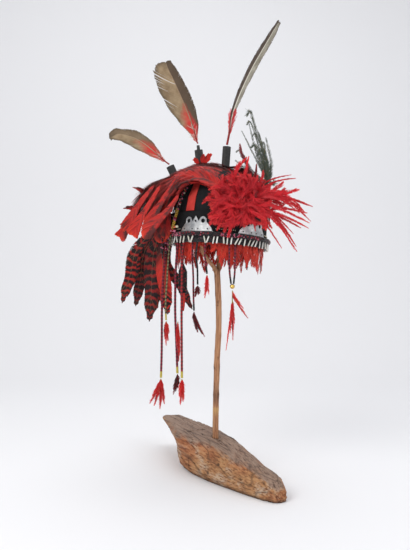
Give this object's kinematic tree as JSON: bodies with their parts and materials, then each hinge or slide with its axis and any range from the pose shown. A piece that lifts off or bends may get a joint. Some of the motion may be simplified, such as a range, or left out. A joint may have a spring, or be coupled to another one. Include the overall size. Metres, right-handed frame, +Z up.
{
  "type": "feathered headdress on driftwood stand",
  "caption": "Cloth cap with a band of pierced silver plates, bone tubes, upright, swept and hanging feathers, beads and tassels, on a forked stick in a driftwood block.",
  "frame": {"origin": "centre of the stick's foot, on the surface that the driftwood stands on", "axes": "+Z up, the wearer would face -Y, +X to the right of someone who looks at the front"},
  "size_m": [0.3649, 0.3671, 0.8557],
  "materials": {
    "driftwood": "weathered",
    "stick": "worn smooth",
    "black_cloth": "matte",
    "red_cloth": "matte",
    "silver": "aged polish",
    "bone": "satin",
    "beads": "polished",
    "scarlet_feather": "feather",
    "crimson_feather": "feather",
    "barred_feather": "feather",
    "tan_feather": "feather",
    "black_tube": "satin",
    "green_herl": "feather",
    "braid": "braided",
    "bell_brass": "polished"
  },
  "bodies": {
    "root": {"back_feathers": "crimson_feather", "barred_feather_1": "barred_feather", "barred_feather_2": "barred_feather", "barred_feather_3": "barred_feather", "barred_feather_4": "barred_feather", "barred_feather_5": "barred_feather", "barred_feather_6": "barred_feather", "bead_cascade": "beads", "bead_string": "beads", "beaded_edge": "beads", "beaded_tab": "beads", "bell": "bell_brass", "bone_tube_row": "bone", "cap_shell": "black_cloth", "cap_strip_1": "red_cloth", "cap_strip_2": "red_cloth", "crown_feathers": "crimson_feather", "dark_feather": "barred_feather", "driftwood_base": "driftwood", "feather_fringe": "scarlet_feather", "feather_left": "tan_feather", "feather_middle": "tan_feather", "feather_right": "tan_feather", "forked_pole": "stick", "headband": "black_cloth", "herl_plume": "green_herl", "middle_spindle": "black_tube", "rosette": "scarlet_feather", "silver_plate_1": "silver", "silver_plate_2": "silver", "silver_plate_3": "silver", "silver_plate_4": "silver", "silver_plate_5": "silver", "socket_left": "black_tube", "socket_middle": "black_tube", "socket_right": "black_tube", "strand_bell_left": "braid", "strand_bell_right": "braid", "strand_centre_left": "braid", "strand_centre_right": "braid", "strand_front_left": "braid", "strand_front_middle": "braid", "strand_front_right": "braid", "strand_long_left": "braid", "strand_short_left": "braid", "tab_ribbon": "red_cloth", "tassel_bell": "scarlet_feather", "tassel_centre_left": "barred_feather", "tassel_centre_right": "scarlet_feather", "tassel_front_left": "barred_feather", "tassel_front_middle": "barred_feather", "tassel_front_right": "scarlet_feather", "tassel_long_left": "scarlet_feather", "tassel_short_left": "scarlet_feather", "tuft_centre": "scarlet_feather"}
  },
  "joints": []
}
